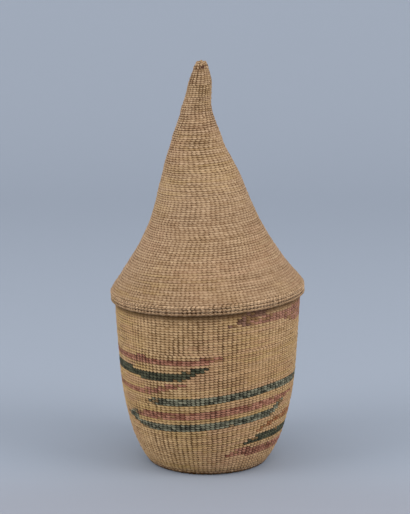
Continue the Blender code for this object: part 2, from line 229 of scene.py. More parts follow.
# The stage, in metres: the paper runs back, bends up and stands behind the basket
PAPER_HALF_WIDTH, PAPER_START, PAPER_LENGTH = 3.0, -2.0, 6.0
BEND_START, BEND_LENGTH, BEND_RADIUS = 1.0, 1.2, 0.76
# The lamps: name, place toward +X, share of the lamp power
LAMPS = [("lamp_left", -1.5, 0.9), ("lamp_right", 1.5, 1.0)]
LAMP_Y, LAMP_HEIGHT, LAMP_SIZE = -0.7, 1.0, 1.2
LAMP_AIM = Vector((0.0, 0.0, 0.1))
ROOM_COLOUR = "#f4f6fa"
CAMERA_PLACE, CAMERA_TILT, CAMERA_LENS, CAMERA_SENSOR = (-0.00171, -1.0, 0.330), 78.6, 115.85, 36.0


def linear(code):
    """An sRGB hex value as linear RGBA."""
    channels = [int(code[i:i + 2], 16) / 255.0 for i in (1, 3, 5)]
    return tuple(c / 12.92 if c <= 0.04045 else ((c + 0.055) / 1.055) ** 2.4 for c in channels) + (1.0,)


def colour_property(name, code, description):
    return bpy.props.FloatVectorProperty(
        name=name, description=description, default=linear(code), size=4, min=0.0, max=1.0, subtype="COLOR")


def float_property(name, default, description, unit="NONE"):
    return bpy.props.FloatProperty(
        name=name, description=description, default=default, soft_min=0.0, unit=unit)


class BasketSizes(bpy.types.PropertyGroup):
    """How the sewing stands out."""

    course_groove: float_property("Course groove", 0.00048, "Depth between two courses", "LENGTH")
    stitch_groove: float_property("Stitch groove", 0.00042, "Depth between two stitches", "LENGTH")
    uneven: float_property("Unevenness", 0.00009, "How much single stitches stand out", "LENGTH")
    lean: float_property("Lean", 0.50, "How far a stitch leans, in stitch widths")
    interlock: float_property("Interlock", 1.0, "How deep stitches reach between those below")
    jitter: float_property("Jitter", 0.14, "How far stitches stand out of line, in stitch widths")
    wander: float_property("Wander", 0.00016, "How far the courses wander up and down", "LENGTH")


class BasketColours(bpy.types.PropertyGroup):
    """The colours of the strands."""

    straw_light: colour_property("Wall straw, light", "#cdab80", "The palest strand of the wall")
    straw_dark: colour_property("Wall straw, dark", "#8c6b44", "The darkest strand of the wall")
    lid_light: colour_property("Lid straw, light", "#c2a381", "The palest strand of the lid")
    lid_dark: colour_property("Lid straw, dark", "#856546", "The darkest strand of the lid")
    yellow_straw: colour_property("Yellow straw", "#b8985c", "A strand that kept some green and yellowed")
    rosy_straw: colour_property("Rosy straw", "#b08468", "A strand that reddened")
    straw_gap: colour_property("Straw gap", "#452806", "The shaded coil between natural stitches")
    green_light: colour_property("Green, light", "#8c8972", "A green strand bleached by light")
    green_worn: colour_property("Green, worn", "#565642", "A worn green strand")
    green_dark: colour_property("Green, dark", "#292a20", "A deep green strand")
    green_gap: colour_property("Green gap", "#0f0d05", "The shaded coil between green stitches")
    red_light: colour_property("Red, light", "#b27f66", "A faded red strand")
    red_dark: colour_property("Red, dark", "#70402f", "A deep red strand")
    red_gap: colour_property("Red gap", "#2a140d", "The shaded coil between red stitches")
    coarse_dark: colour_property("Coarse straw, dark", "#7f6043", "The darkest strand of the point")
    rim_light: colour_property("Rim straw, light", "#d9b791", "The palest strand of the lid's rim")
    faded_light: colour_property("Faded red, light", "#ad7e67", "A red strand that has gone brown")
    faded_dark: colour_property("Faded red, dark", "#785242", "A deep red strand that has gone brown")
    brown_light: colour_property("Brown, light", "#8e6a57", "A faded brown strand")
    brown_dark: colour_property("Brown, dark", "#543a2c", "A deep brown strand")
    rust_light: colour_property("Rust, light", "#bd8a5e", "A faded rust strand")
    rust_dark: colour_property("Rust, dark", "#784626", "A deep rust strand")


class StageSettings(bpy.types.PropertyGroup):
    """The floor and the lamps."""

    floor: colour_property("Floor", "#a0a8b4", "The pale floor and backdrop")
    floor_front_shade: colour_property("Floor, front", "#9b9fa9", "The floor in front of the basket")
    lamp_power: float_property("Lamp power", 15.0, "Power of the stronger side lamp", "POWER")
    world: float_property("Room light", 0.98, "Strength of the light from all round")


def smooth_table(table, place):
    """Reads a table of (place, value) along a smooth curve that never overshoots its points."""
    places, values = np.array(table, float).T
    runs = np.diff(places)
    slopes = np.diff(values) / runs
    before, after = slopes[:-1], slopes[1:]
    same = before * after > 0.0
    total = np.where(same, before + after, 1.0)
    middle = np.where(same, 2.0 * before * after / total, 0.0)
    tangents = np.concatenate([slopes[:1], middle, slopes[-1:]])
    place = np.clip(place, places[0], places[-1])
    i = np.clip(np.searchsorted(places, place, side="right") - 1, 0, len(runs) - 1)
    t = (place - places[i]) / runs[i]
    start, end, rise = tangents[i] * runs[i], tangents[i + 1] * runs[i], np.diff(values)[i]
    return values[i] + t * start + t * t * (3 * rise - 2 * start - end) + t ** 3 * (start + end - 2 * rise)


def wall_radius(height):
    """The outside of the basket's wall."""
    return FOOT_RADIUS + (MOUTH_RADIUS - FOOT_RADIUS) * smooth_table(WALL_SHARES, height / SEAT_HEIGHT)


def lid_radius(height):
    """The outside of the lid."""
    return LID_RADIUS * smooth_table(LID_SHARES, (height - SEAT_HEIGHT) / LID_HEIGHT)


def slope_at(height):
    """The climb of the courses toward +X that the frame has at a height."""
    start, full = SLOPE_START_SHARE * SEAT_HEIGHT, SLOPE_FULL_SHARE * SEAT_HEIGHT
    t = np.clip((height - start) / (full - start), 0.0, 1.0)
    return RIM_RISE / LID_RADIUS * t * t * (3.0 - 2.0 * t)


def hand_built(x, y, z):
    """Moves a planned point to where the frame has it."""
    lean = SPIRE_LEAN * smooth_table(LEAN_SHARES, (z - SEAT_HEIGHT) / LID_HEIGHT)
    return np.stack([x - lean, y, z + slope_at(z) * x], axis=-1)


def waves(angle, course, seed, size):
    """A slow, seamless wander round and up the basket, the same every time."""
    random = np.random.default_rng(seed)
    total = 0.0
    for turns in (1, 2, 3, 5, 8):
        climb, start = random.uniform(0.05, 0.5), random.uniform(0.0, math.tau)
        total = total + np.sin(turns * angle + climb * course + start) / math.sqrt(turns)
    return size * total / 2.0


def outward(radius_at, height):
    """The radius at a height, and the way out from the surface there."""
    radius = radius_at(height)
    climb = (radius_at(height + SLOPE_STEP) - radius_at(height - SLOPE_STEP)) / (2.0 * SLOPE_STEP)
    length = np.sqrt(1.0 + climb * climb)
    return radius, 1.0 / length, -climb / length


def wall_place(course, angle):
    """The wall's outside: radius, planned height and the way out, at a course and angle."""
    sizes = bpy.context.scene.basket_sizes
    planned = np.interp(course, *np.array(COURSE_HEIGHTS).T)
    share = smooth_table(RISE_SHARES, planned)
    rise = smooth_table(COURSE_RISE, np.degrees(angle))
    edge = np.clip(np.minimum(course, COURSES - course) / 3.0, 0.0, 1.0)
    height = planned + share * rise + edge * waves(angle, course, 11, sizes.wander)
    sideways = wall_radius(height) * np.sin(angle)
    height = height + (1.0 - share) * slope_at(planned) * sideways
    level = height
    for _ in range(5):
        level = height - slope_at(level) * sideways
    radius, out, up = outward(wall_radius, level)
    return radius + edge * waves(angle, course * 0.3, 12, WALL_SWELL), level, out, up


def lid_place(bottom, top, courses, seed):
    """The outside of a stretch of the lid, as a function of course and angle."""
    def place(course, angle):
        sizes = bpy.context.scene.basket_sizes
        edge = np.clip(np.minimum(course, courses - course) / 2.0, 0.0, 1.0)
        height = bottom + (top - bottom) * course / courses
        height = height + edge * waves(angle, course, seed, sizes.wander)
        radius, out, up = outward(lid_radius, height)
        swell = LID_SWELL * np.minimum(1.0, radius / 0.02)
        return radius + edge * waves(angle, course * 0.3, seed + 1, swell), height, out, up
    return place


def inside_of(place):
    """The inside of the wall or the lid, one wall's thickness in from its outside."""
    def inside(course, angle):
        radius, height, out, up = place(course, angle)
        return radius - WALL / out, height, -out, -up
    return inside


def flat_place(start, end, height, courses, up):
    """A level stretch from one radius to another that faces up, 1.0, or down, -1.0."""
    def place(course, angle):
        return start + (end - start) * course / courses, height, 0.0, up
    return place


def pole(height, line=0.0):
    """A face of one point on the axis, which closes a piece."""
    def place(course, angle):
        return 0.0, height, 1.0, 0.0
    return place, np.array([[line], [0.0]])


def stitch_rows(first, last, along=ALONG, crest=ALONG_CREST):
    """Two rows, from one course up to another: where each line of vertices runs, and its crest."""
    count = last - first
    lines = (first + np.arange(count)[:, None] + along).ravel()
    return np.array([np.append(lines, last), np.append(np.tile(crest, count), 0.0)])


def spread(share, skew):
    """The angle at a share of the way round; stitches are a little wider left of the front."""
    angle = (share * math.tau) % math.tau - math.pi
    return angle + 0.02 * np.sin(3.0 * (angle + 0.26)) + skew * np.cos(angle)


def around(columns):
    """Every column of vertices round a piece: its stitch, its line across it, its place and its crest."""
    stitch, line = np.divmod(np.arange(4 * columns + 1), 4)
    return stitch % columns, line, stitch + ACROSS[line], ACROSS_CREST[line]


def sewn(lines, columns, ends):
    """Where a grid's vertices stand, in courses and stitches.

    Stitches lean and reach between those below, apart from the lines in ends, which stay level.
    """
    sizes = bpy.context.scene.basket_sizes
    stitch, line, place, _ = around(columns)
    course = np.floor(lines + 0.001).astype(int)
    row = np.searchsorted(ALONG, lines - course - 0.001)
    free = ~np.isin(lines, ends)
    foot = ALONG_FOOT[row] * free * sizes.interlock
    courses = lines[:, None] + foot[:, None] * ACROSS_FOOT[line]
    own = np.random.default_rng(columns).uniform(-1.0, 1.0, (CHANCE_ROWS, columns))
    here, below = (own[at % CHANCE_ROWS][:, stitch] for at in (course, course - 1))
    uneven = np.where((row == 0)[:, None], (here + below) / 2.0, here)
    lean = sizes.lean * ALONG_LEAN[row] * free
    return courses, place + lean[:, None] + sizes.jitter * uneven * ACROSS_JITTER[line]


def linked(name, data):
    """A new object in the scene."""
    thing = bpy.data.objects.new(name, data)
    bpy.context.scene.collection.objects.link(thing)
    return thing


def grid(width, tall):
    """A flat grid with that many faces across and up."""
    bm = bmesh.new()
    bmesh.ops.create_grid(bm, x_segments=width, y_segments=tall, size=1.0)
    return bm


def to_object(bm, name, tall, table, across, up):
    """Moves a grid's vertices to their places, gives it its stitch map, and welds and closes it.

    The table has a place for each layer, line and column, and across and up are the map's values for the
    columns and lines. The grid has tall faces up, and its top line is the first again if there are as many
    lines as that.
    """
    mesh = bpy.data.meshes.new(name)
    bm.to_mesh(mesh)
    bm.free()
    points = np.empty(3 * len(mesh.vertices))
    mesh.vertices.foreach_get("co", points)
    x, y, z = points.reshape(-1, 3).T
    column = np.rint((x + 1.0) / 2.0 * (len(across) - 1)).astype(int)
    line = np.rint((y + 1.0) / 2.0 * tall).astype(int) % len(up)
    mesh.vertices.foreach_set("co", table[np.rint(z).astype(int), line, column].ravel())
    corners = np.empty(len(mesh.loops), np.int32)
    mesh.loops.foreach_get("vertex_index", corners)
    mapped = np.stack([across[column], up[line]], axis=-1)
    mesh.uv_layers.new(name="Stitches").data.foreach_set("uv", mapped[corners].ravel())
    bm = bmesh.new()
    bm.from_mesh(mesh)
    bmesh.ops.remove_doubles(bm, verts=bm.verts, dist=WELD)
    bmesh.ops.delete(bm, geom=[edge for edge in bm.edges if not edge.link_faces], context="EDGES")
    bmesh.ops.recalc_face_normals(bm, faces=bm.faces)
    bm.to_mesh(mesh)
    bm.free()
    mesh.shade_smooth()
    mesh.set_sharp_from_angle(angle=SHARP)
    return linked(name, mesh)


def finish_piece(piece, finish, body, node):
    """Gives a piece its material, its body and the node that it stands for."""
    piece.data.materials.append(material_for(finish))
    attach(piece, body)
    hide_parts(node)


def cells_inside(mask, lines, columns):
    """True at each vertex of a grid whose neighbouring stitches are all in the mask."""
    padded = np.vstack([mask, np.zeros((1, columns), bool)])
    places = np.arange(4 * columns + 1)
    left, right = (np.ceil(places / 4).astype(int) - 1) % columns, (places // 4) % columns
    low, high = np.ceil(lines - 0.001).astype(int) - 1, np.floor(lines + 0.001).astype(int)
    return padded[low][:, left] & padded[low][:, right] & padded[high][:, left] & padded[high][:, right]


def relief_of(lines, crests, columns, seed, deep):
    """How far each vertex lies below the crest of its stitch."""
    sizes = bpy.context.scene.basket_sizes
    stitch, _, _, across = around(columns)
    down = crests[:, None]
    uneven = np.random.default_rng(seed).normal(0.0, sizes.uneven, (CHANCE_ROWS, columns))
    course = np.floor(lines + 0.001).astype(int) % CHANCE_ROWS
    own = uneven[course][:, stitch].clip(-STAND_OUT, STAND_OUT)
    groove = sizes.course_groove * (1.0 - down) + sizes.stitch_groove * (1.0 - across) * (0.35 + 0.65 * down)
    return deep * groove + own * down * across


def side_of(place, rows, columns, seed, ends=(), shift=None, deep=1.0, skew=0.0):
    """One side of a run of courses: its angle, radius, height, way out and relief at each vertex.

    Place is a function of course and angle, and may give one number where all vertices share it.
    """
    courses, stitches = sewn(rows[0], columns, ends)
    if shift:
        stitches = stitches + shift(rows[0])[:, None]
    angle = spread(stitches / columns, skew)
    radius, height, out, up = place(courses, angle)
    return angle, radius, height, out, up, relief_of(*rows, columns, seed, deep)


def settled(angle, radius, height, out, up, depth):
    """The points of a side at a depth below its crests, joined at the seam."""
    depth = np.where(radius > 0.0, depth, 0.0)
    radius, height = np.maximum(radius - out * depth, 0.0), height - up * depth
    table = hand_built(radius * np.sin(angle), -radius * np.cos(angle), height)
    table[:, -1] = table[:, 0]
    return table


def shell(name, columns, faces, seed, ends=(), shift=None, deep=1.0, skew=0.0, mask=None):
    """A closed run of courses. Each face is (place, rows) and they follow each other round it."""
    tables = []
    for number, (place, rows) in enumerate(faces):
        *side, depth = side_of(place, rows, columns, seed + number, ends, shift, deep, skew)
        if mask is not None and number == 0:
            depth = np.where(cells_inside(mask, rows[0], columns), BAND_SEAT, depth)
        tables.append(settled(*side, depth))
    lines = np.concatenate([rows[0] for place, rows in faces])
    table = np.concatenate(tables)[None]
    return to_object(grid(4 * columns, len(lines)), name, len(lines), table, around(columns)[2], lines)


def band_zone(name):
    """The stretch of the wall that a band is sewn into."""
    first = min(course for course, start, end in BANDS[name])
    return next(zone for zone in WALL_ZONES.values() if zone[0] <= first < zone[1])


def band_cells(name, columns, skew):
    """Which stitches belong to a dyed band, as courses by columns."""
    mask = np.zeros((COURSES, columns), bool)
    middle = np.degrees(spread((np.arange(columns) + 0.5) / columns, skew))
    for course, start, end in BANDS[name]:
        mask[course] |= (middle > start) & (middle < end)
    return mask


def strand(name, seed):
    """A dyed band: its own stitches with a thin closed back, in the seat that the wall leaves for it."""
    zone_first, zone_end, columns, skew = band_zone(name)
    mask = band_cells(name, columns, skew)
    courses = np.flatnonzero(mask.any(axis=1))
    first, tall = courses[0], courses[-1] + 1 - courses[0]
    rows = stitch_rows(first, first + tall)
    *side, depth = side_of(wall_place, rows, columns, seed, (zone_first, zone_end), skew=skew)
    back_depth = np.where(cells_inside(mask, rows[0], columns), BAND_BACK, depth)
    bm = grid(4 * columns, 4 * tall)
    near_end = bm.faces.layers.float.new("Ends")
    spare = []
    for face in bm.faces:
        middle = face.calc_center_median()
        column = int((middle.x + 1.0) / 2.0 * columns)
        course = int((middle.y + 1.0) / 2.0 * tall) + first
        if mask[course, column]:
            gaps = np.abs(np.flatnonzero(~mask[course]) - column)
            face[near_end] = min(gaps.min(), BAND_TIP) / BAND_TIP
        else:
            spare.append(face)
    bmesh.ops.delete(bm, geom=spare, context="FACES")
    back = bmesh.ops.duplicate(bm, geom=bm.verts[:] + bm.edges[:] + bm.faces[:])["geom"]
    bmesh.ops.translate(bm, verts=[v for v in back if isinstance(v, bmesh.types.BMVert)], vec=(0, 0, 1))
    table = np.stack([settled(*side, depth), settled(*side, back_depth)])
    return to_object(bm, name + "_stitches", 4 * tall, table, around(columns)[2], rows[0])


def arch(name, path, thickness, sides=12):
    """A bent strand with closed ends, along a row of points."""
    path = np.array(path)
    ahead = np.gradient(path, axis=0)
    ahead /= np.linalg.norm(ahead, axis=1, keepdims=True)
    level = np.cross(path[-1] - path[0], (0.0, 0.0, 1.0))
    aside = np.cross(ahead, level)
    aside /= np.linalg.norm(aside, axis=1, keepdims=True)
    other = np.cross(ahead, aside)
    turn = np.arange(sides + 1) % sides * math.tau / sides
    ring = np.cos(turn)[None, :, None] * aside[:, None] + np.sin(turn)[None, :, None] * other[:, None]
    beads = 0.84 + 0.16 * np.abs(np.sin(np.linspace(0.0, BEADS * math.pi, len(path)))) ** 0.5
    table = path[:, None] + thickness * beads[:, None, None] * ring
    table = np.concatenate([path[None, :1] + 0.0 * table[:1], table, path[None, -1:] + 0.0 * table[:1]])
    tall = len(table) - 1
    across, up = np.arange(sides + 1) / sides * 4.0, np.arange(tall + 1) / tall * BEADS
    return to_object(grid(sides, tall), name, tall, table[None], across, up)


def add(tree, kind, inputs=(), **settings):
    """Adds a node with its settings; an input is a value or another node's output."""
    node = tree.nodes.new("ShaderNode" + kind)
    for key, value in settings.items():
        setattr(node, key, value)
    for key, value in dict(inputs).items():
        if isinstance(value, bpy.types.NodeSocket):
            tree.links.new(value, node.inputs[key])
        else:
            node.inputs[key].default_value = value
    return node


def node_material(name):
    """A new material, its nodes and its shader."""
    material = bpy.data.materials.new(name)
    material.use_nodes = True
    return material, material.node_tree, material.node_tree.nodes["Principled BSDF"]


def smooth_ramp(tree, value, low, high, to_low, to_high):
    """A value that goes smoothly from one level to another between two places."""
    return add(tree, "MapRange", {"Value": value, "From Min": low, "From Max": high, "To Min": to_low,
                                  "To Max": to_high}, interpolation_type="SMOOTHSTEP").outputs["Result"]


def colour_mix(tree, factor, a, b):
    return add(tree, "Mix", {"Factor": factor, 6: a, 7: b}, data_type="RGBA").outputs[2]


def sewn_grass(name, light, dark, gap, by_stitch, by_course, most, contrast, painted_shade=None, plain=None, dyed=1.0):
    """Split grass strand, sewn over a grass coil.

    Dry grass is matt with a faint shine along the fibre. Each stitch has its own tone and a painted highlight
    on its crown, a strand lasts about eleven stitches before the next one starts, and the coil behind is
    painted dark between them as shade, most of all in the holes where four stitches meet. The Stitches map
    counts stitches across, about 2.8 mm each, and courses up, 1.55 mm each. Near the ends of a dyed band,
    plain strand runs among the dyed. Painted shade also darkens the foot's edge and, for some finishes, a
    stretch of height.
    """
    material, tree, shader = node_material(name)
    ramp, mix = partial(smooth_ramp, tree), partial(colour_mix, tree)

    def calc(operation, a, b=0.0, c=0.0):
        return add(tree, "Math", {0: a, 1: b, 2: c}, operation=operation).outputs["Value"]

    # Times gives a product, and scaled a product with a number added
    times, scaled = partial(calc, "MULTIPLY"), partial(calc, "MULTIPLY_ADD")

    def split(vector):
        return add(tree, "SeparateXYZ", {"Vector": vector}).outputs[:3]

    def joined(x, y, z):
        return add(tree, "CombineXYZ", {"X": x, "Y": y, "Z": z}).outputs["Vector"]

    def chance(x, y, z):
        """A number from 0 to 1 for each stitch, course, strand or line."""
        return add(tree, "TexWhiteNoise", {"Vector": joined(x, y, z)}, noise_dimensions="3D").outputs["Value"]

    def cloud(scale, shift):
        """Slow patches; one over the scale is about their size in metres."""
        moved = add(tree, "VectorMath", {0: place, 1: (shift, shift, shift)}).outputs["Vector"]
        return add(tree, "TexNoise", {"Vector": moved, "Scale": scale, "Detail": 1.5}).outputs["Fac"]

    def stretch(along, share, line, seed):
        """Counts the stretches of a line; they start at a place of their own in each line."""
        start = times(chance(line, 0.5, seed), 5.0)
        return calc("FLOOR", scaled(along, share, start))

    def shown(near, patch, own, strength):
        """How dark the coil shows along a line, by patches and by the line's own stretches."""
        varied = times(patch, scaled(own, 1.4, 0.3))
        return times(near, times(varied, strength))

    across, up, _ = split(add(tree, "UVMap", uv_map="Stitches").outputs["UV"])
    place = add(tree, "TexCoord").outputs["Object"]
    x, y, z = split(place)
    column, course = calc("FLOOR", across), calc("FLOOR", up)
    stitch = chance(column, course, 0.5)
    run = stretch(column, 1 / 11, course, 7.5)

    # Fibres run along each stitch, about 0.2 mm apart
    fine = joined(times(across, 13.0), times(up, 1.6), times(stitch, 9.0))
    fibre = add(tree, "TexNoise", {"Vector": fine, "Scale": 1.0, "Detail": 2.0}).outputs["Fac"]

    # How near a stitch's side and its course's edge are, and how much of a stitch is its crown
    aside, above = (scaled(calc("PINGPONG", at, 0.5), -2.0, 1.0) for at in (across, up))
    aside, above = (times(at, at) for at in (aside, above))
    crown = times(calc("SUBTRACT", 1.0, aside), calc("SUBTRACT", 1.0, above))

    # How pale a stitch is: its crown, with a painted highlight, its own tone, its strand's, its course's,
    # patches of 35 mm and 8 mm, and its fibres
    patchy = 0.2 if plain else 1.0
    tone = scaled(crown, 0.45, 0.3)
    for value, share in ((stitch, 0.45 * contrast), (chance(run, course, 3.5), 0.2),
                         (chance(course, 1.5, 41.5), 0.2), (cloud(28.0, 0.0), 0.3 * patchy),
                         (cloud(120.0, 1.0), 0.2 * patchy), (fibre, 0.5)):
        tone = calc("ADD", tone, scaled(value, share, -0.5 * share))
    colour = mix(tone, dark, light)
    if plain:
        ends = add(tree, "Attribute", attribute_name="Ends").outputs["Fac"]
        bare = calc("GREATER_THAN", chance(column, course, 11.5), ramp(ends, 0.0, 0.6, 0.72, dyed))
        colour = mix(times(bare, 0.7), colour, plain)
    else:
        colours = bpy.context.scene.basket_colours
        tinted = 0.6 if "wall" in name else 0.3
        for tint, seed, shift, low, share in ((colours.yellow_straw, 21.5, 5.0, 0.38, tinted),
                                              (colours.rosy_straw, 31.5, 7.0, 0.42, 0.8 * tinted)):
            patch = ramp(cloud(22.0, shift), low, 0.62, 0.0, share)
            colour = mix(times(chance(run, course, seed), patch), colour, tint)

    # Painted shade: the coil shows dark along a stitch's sides, above and below it, and most at its corners.
    # Those lines come and go: one lasts about six courses up, or about five stitches along a course.
    side, edge = calc("ROUND", across), calc("ROUND", up)
    sides = shown(aside, ramp(cloud(55.0, 2.0), 0.36, 0.62, 0.5, 1.4),
                  chance(side, stretch(up, 1 / 6, side, 23.5), 25.5), by_stitch)
    rows = shown(above, ramp(cloud(65.0, 3.0), 0.36, 0.62, 1.4, 0.6),
                 chance(stretch(across, 1 / 5, edge, 17.5), edge, 29.5), by_course)
    lines = ramp(calc("ADD", sides, rows), 0.35, 1.30, 0.0, 0.7 * most)
    holes = ramp(times(aside, above), 0.04, 0.40, 0.0, most)
    hole = scaled(chance(side, edge, 27.5), 0.6, 0.4)
    holes = times(holes, times(hole, ramp(cloud(90.0, 9.0), 0.38, 0.60, 0.4, 1.0)))
    # The painted shade is fainter toward +X, the side that is lit more
    depth = times(calc("MAXIMUM", lines, holes), ramp(x, 0.005, 0.045, 1.0, 0.72))

    # Painted shade where the foot's edge meets the floor: dark over its lowest 2 mm, faintly darker up to
    # 11 mm, and less toward the middle
    foot_shade = calc("MAXIMUM", ramp(z, 0.0012, 0.0027, 1.0, 0.0), ramp(z, 0.0005, 0.011, 0.38, 0.0))
    radius = add(tree, "VectorMath", {0: joined(x, y, 0.0)}, operation="LENGTH").outputs["Value"]
    foot_shade = times(foot_shade, ramp(radius, FOOT_RADIUS - 0.0045, FOOT_RADIUS + 0.0006, 0.0, 1.0))
    foot_shade = times(foot_shade, scaled(chance(column, course, 33.5), 0.3, 0.7))
    depth = calc("MAXIMUM", depth, foot_shade)
    # Painted shade by height, measured level with the rim's climb
    if painted_shade:
        level = scaled(x, -RIM_RISE / LID_RADIUS, z)
        depth = calc("MAXIMUM", depth, ramp(level, *painted_shade))
    tree.links.new(mix(depth, colour, gap), shader.inputs["Base Color"])
    tree.links.new(scaled(fibre, 0.16, 0.60), shader.inputs["Roughness"])
    shader.inputs["Specular IOR Level"].default_value = 0.10
    shader.inputs["Sheen Weight"].default_value = 0.02
    bump = add(tree, "Bump", {"Strength": 0.5, "Distance": 0.0001, "Height": fibre})
    tree.links.new(bump.outputs["Normal"], shader.inputs["Normal"])
    return material


def material_for(finish):
    """One material for each finish, made when it is first asked for."""
    name = f"sewn grass, {finish}"
    if name in bpy.data.materials:
        return bpy.data.materials[name]
    c = bpy.context.scene.basket_colours
    lid = (c.lid_light, c.lid_dark, c.straw_gap)
    coarse = (c.lid_light, c.coarse_dark, c.straw_gap)
    # Painted shade, from a height to a height and from one darkness to another. It darkens the wall's last
    # 6 mm under the lid's rim, where the rim's shadow falls, more faintly on the top two bands, the rim's
    # lower edge, and faintly the lid's skirt, which faces up into more light.
    rim_shadow = (SEAT_HEIGHT - 0.0060, SEAT_HEIGHT - 0.0014, 0.0, 0.76)
    faint_rim_shadow = (*rim_shadow[:3], 0.3)
    # Painted shade on the rim's lower edge
    edge = (SEAT_HEIGHT, SEAT_HEIGHT + 0.0022, 0.45, 0.0)
    skirt_shade = (SEAT_HEIGHT + 0.006, SEAT_HEIGHT + 0.040, 0.13, 0.0)
    green = (c.green_dark, c.green_gap, 1.2, 0.9, 1.0, 2.0, rim_shadow, c.straw_dark, 0.99)
    # light, dark, gap, darkness by stitch and by course, most darkness, contrast, painted shade by height,
    # and for a dyed band the plain strand at its ends and the share of dyed stitches in its middle
    recipes = {
        "wall": (c.straw_light, c.straw_dark, c.straw_gap, 0.72, 0.92, 1.0, 0.9, rim_shadow),
        "lid": (*lid, 0.20, 0.95, 0.85, 0.8, skirt_shade),
        "neck": (*lid, 0.40, 1.10, 0.95, 0.95),
        "spire": (*lid, 0.60, 1.25, 1.0, 1.1),
        "coarse": (*coarse, 1.0, 0.7, 1.0, 1.2),
        "knot": (*coarse, 1.6, 1.1, 1.0, 2.3),
        "rim": (c.rim_light, c.lid_dark, c.straw_gap, 1.0, 0.75, 1.0, 1.0, edge),
        # The lashing's darkness between stitches is painted shade of the groove it lies in
        "lashing": (c.lid_light, c.brown_dark, c.straw_gap, 4.0, 0.6, 1.4, 1.3),
        "dyed green": (c.green_light, *green),
        "dyed deep green": (c.green_worn, *green),
        "dyed red": (c.red_light, c.red_dark, c.red_gap, 0.9, 1.0, 0.9, 1.8, rim_shadow, c.straw_dark, 0.9),
        "dyed faded red": (c.faded_light, c.faded_dark, c.straw_gap, 0.9, 1.0, 0.9, 1.6, faint_rim_shadow,
                           c.straw_dark, 0.84),
        "dyed rust": (c.rust_light, c.rust_dark, c.red_gap, 0.9, 1.0, 0.95, 1.8, rim_shadow, c.straw_dark, 0.75),
        "dyed brown": (c.brown_light, c.brown_dark, c.straw_gap, 0.95, 1.0, 0.95, 1.9, faint_rim_shadow,
                       c.straw_dark, 0.62),
    }
    return sewn_grass(name, *recipes[finish])


class BASKET_OT_base(bpy.types.Operator):
    """Sew the flat spiral that the basket stands on"""

    bl_idname = "basket.base"
    bl_label = "Base"

    def execute(self, context):
        for seed, (name, inner, outer, courses, stitches, finish, node, slot) in enumerate(BASE_RINGS):
            rows = stitch_rows(0, courses)
            faces = [(flat_place(inner, outer, BASE_LIFT, courses, -1.0), rows),
                     (flat_place(inner, outer, BASE_THICKNESS, courses, 1.0), rows[:, ::-1])]
            finish_piece(shell(name, stitches, faces, 20 + seed), finish, "basket", node)

        def foot_side(course, angle):
            share = course / FOOT_SIDE_COURSES
            height = BASE_LIFT + (BASE_THICKNESS - BASE_LIFT) * share
            radius, out, up = outward(wall_radius, height)
            under = np.clip(1.0 - height / FOOT_ROUND, 0.0, 1.0)
            beyond = FOOT_FULL * (1.0 - share) - FOOT_ROUND * (1.0 - np.sqrt(1.0 - under * under))
            return radius + beyond, height, out, up

        rows = stitch_rows(0, FOOT_COURSES)
        under_end = FOOT_RADIUS + FOOT_FULL - FOOT_ROUND
        top_end = float(wall_radius(BASE_THICKNESS))
        faces = [(flat_place(FOOT_INNER, under_end, BASE_LIFT, FOOT_COURSES, -1.0), rows),
                 (foot_side, stitch_rows(0, FOOT_SIDE_COURSES)[:, 1:]),
                 (flat_place(FOOT_INNER, top_end, BASE_THICKNESS, FOOT_COURSES, 1.0), rows[:, -2::-1])]
        foot = shell("foot_turn", FOOT_STITCHES, faces, 24)
        finish_piece(foot, "coarse", "basket", "foot_coil")
        return {"FINISHED"}


class BASKET_OT_wall(bpy.types.Operator):
    """Sew the plain wall, with a seat for each dyed band"""

    bl_idname = "basket.wall"
    bl_label = "Wall"

    def execute(self, context):
        for seed, (name, zone) in enumerate(WALL_ZONES.items()):
            first, end, stitches, skew = zone
            mask = np.zeros((COURSES, stitches), bool)
            for band in BANDS:
                if band_zone(band) == zone:
                    mask |= band_cells(band, stitches, skew)
            back = stitch_rows(first, end, INSIDE_ALONG, INSIDE_CREST)
            faces = [(wall_place, stitch_rows(first, end)), (inside_of(wall_place), back[:, ::-1])]
            piece = shell(name, stitches, faces, 30 + 2 * seed, (first, end), skew=skew, mask=mask)
            finish_piece(piece, "wall", "basket", "basket_wall")
        return {"FINISHED"}


class BASKET_OT_bands(bpy.types.Operator):
    """Sew the dyed bands"""

    bl_idname = "basket.bands"
    bl_label = "Dyed bands"

    def execute(self, context):
        for seed, name in enumerate(BANDS):
            dye = name.rsplit("_", 1)[1]
            look = LOOKS.get(name, dye)
            finish_piece(strand(name, 40 + seed), f"dyed {look}", "basket", name)
        return {"FINISHED"}


def rope(name, radius, height, half_width, half_height, courses, stitches, seed, slant, deep=0.7):
    """A coil wrapped in slanting stitches, with several turns of them round its rounded section."""
    def place(course, angle):
        turn = math.pi + math.tau * (course / courses)
        across, along = np.cos(turn), np.sin(turn)
        bulge = (np.abs(across) ** 3 + np.abs(along) ** 3) ** (-1 / 3)
        return radius + half_width * across * bulge, height + half_height * along * bulge, across, along

    def shift(at):
        return slant * (at / courses - 0.5)

    return shell(name, stitches, [(place, stitch_rows(0, courses)[:, :-1])], seed, shift=shift, deep=deep)


class BASKET_OT_mouth(bpy.types.Operator):
    """Wrap the two finishing turns round the mouth"""

    bl_idname = "basket.mouth"
    bl_label = "Mouth"

    def execute(self, context):
        half = WALL / 2.0
        for seed, (name, height) in enumerate(MOUTH_TURNS):
            piece = rope(name, MOUTH_RADIUS - half, height, half, MOUTH_HALF_HEIGHT, courses=4,
                         stitches=MOUTH_STITCHES, seed=60 + seed, slant=1.0)
            finish_piece(piece, "coarse", "basket", "mouth_rim")
        return {"FINISHED"}


